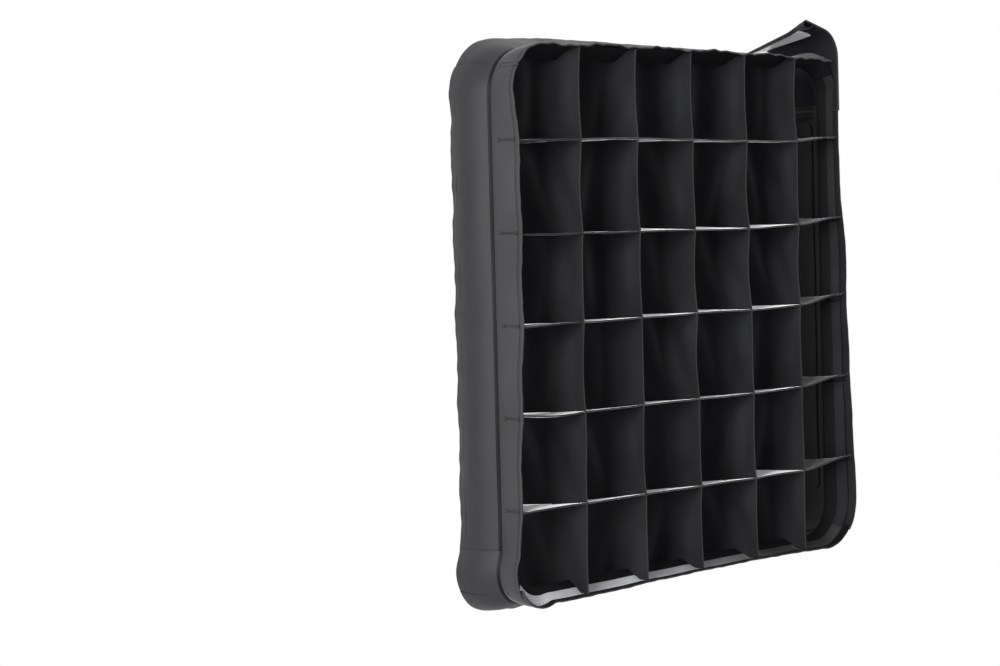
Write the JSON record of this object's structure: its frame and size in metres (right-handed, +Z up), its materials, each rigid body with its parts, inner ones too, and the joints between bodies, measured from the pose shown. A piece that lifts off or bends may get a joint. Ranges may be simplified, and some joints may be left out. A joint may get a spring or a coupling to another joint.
{
  "type": "softbox louver grid",
  "caption": "Collapsible black fabric egg-crate grid for a softbox, with a sewn rim on a spring frame and fold-over attachment flaps that narrow the spread of light.",
  "frame": {"origin": "centre of the plane in which the softbox's rim seats, where the front strip and the flaps meet", "axes": "+Y back towards the softbox, +Z up, +X to the right seen from the front"},
  "size_m": [0.459, 0.0771, 0.4864],
  "materials": {
    "nylon": "matte",
    "louver_cloth": "matte",
    "binding": "matte",
    "hook_tape": "satin",
    "spring_wire": "satin",
    "rod": "satin"
  },
  "bodies": {
    "grid": {"front_strip_top": "nylon", "front_strip_bottom": "nylon", "front_strip_left": "nylon", "front_strip_right": "nylon", "edge_binding_top": "binding", "edge_binding_bottom": "binding", "edge_binding_left": "binding", "edge_binding_right": "binding", "rod_sleeve_top": "nylon", "rod_sleeve_bottom": "nylon", "rod_sleeve_left": "nylon", "rod_sleeve_right": "nylon", "frame_rod_top": "rod", "frame_rod_bottom": "rod", "frame_rod_left": "rod", "frame_rod_right": "rod", "corner_wire_top_left": "spring_wire", "corner_wire_top_right": "spring_wire", "corner_wire_bottom_left": "spring_wire", "corner_wire_bottom_right": "spring_wire", "louver_upright_1": "louver_cloth", "louver_upright_2": "louver_cloth", "louver_upright_3": "louver_cloth", "louver_upright_4": "louver_cloth", "louver_upright_5": "louver_cloth", "louver_level_1": "louver_cloth", "louver_level_2": "louver_cloth", "louver_level_3": "louver_cloth", "louver_level_4": "louver_cloth", "louver_level_5": "louver_cloth"},
    "top_flap": {"flap_top": "nylon", "hook_tape_top": "hook_tape"},
    "bottom_flap": {"flap_bottom": "nylon", "hook_tape_bottom": "hook_tape"},
    "left_flap": {"flap_left": "nylon", "hook_tape_left": "hook_tape"},
    "right_flap": {"flap_right": "nylon", "hook_tape_right": "hook_tape"},
    "open_ear": {"corner_ear": "nylon", "ear_tape": "hook_tape"}
  },
  "joints": [
    {"name": "top_flap_fold", "type": "hinge", "parent": "grid", "child": "top_flap", "pos_m": [0, 0, 0.225], "axis": [1, 0, 0], "range_deg": [0, 110]},
    {"name": "bottom_flap_fold", "type": "hinge", "parent": "grid", "child": "bottom_flap", "pos_m": [0, 0, -0.225], "axis": [-1, 0, 0], "range_deg": [0, 120]},
    {"name": "left_flap_fold", "type": "hinge", "parent": "grid", "child": "left_flap", "pos_m": [-0.225, 0, 0], "axis": [0, 0, 1], "range_deg": [0, 120]},
    {"name": "right_flap_fold", "type": "hinge", "parent": "grid", "child": "right_flap", "pos_m": [0.225, 0, 0], "axis": [0, 0, -1], "range_deg": [0, 120]},
    {"name": "corner_ear_fold", "type": "hinge", "parent": "grid", "child": "open_ear", "pos_m": [0.227, 0, 0.177], "axis": [0, 1, 0], "range_deg": [0, 90]}
  ]
}
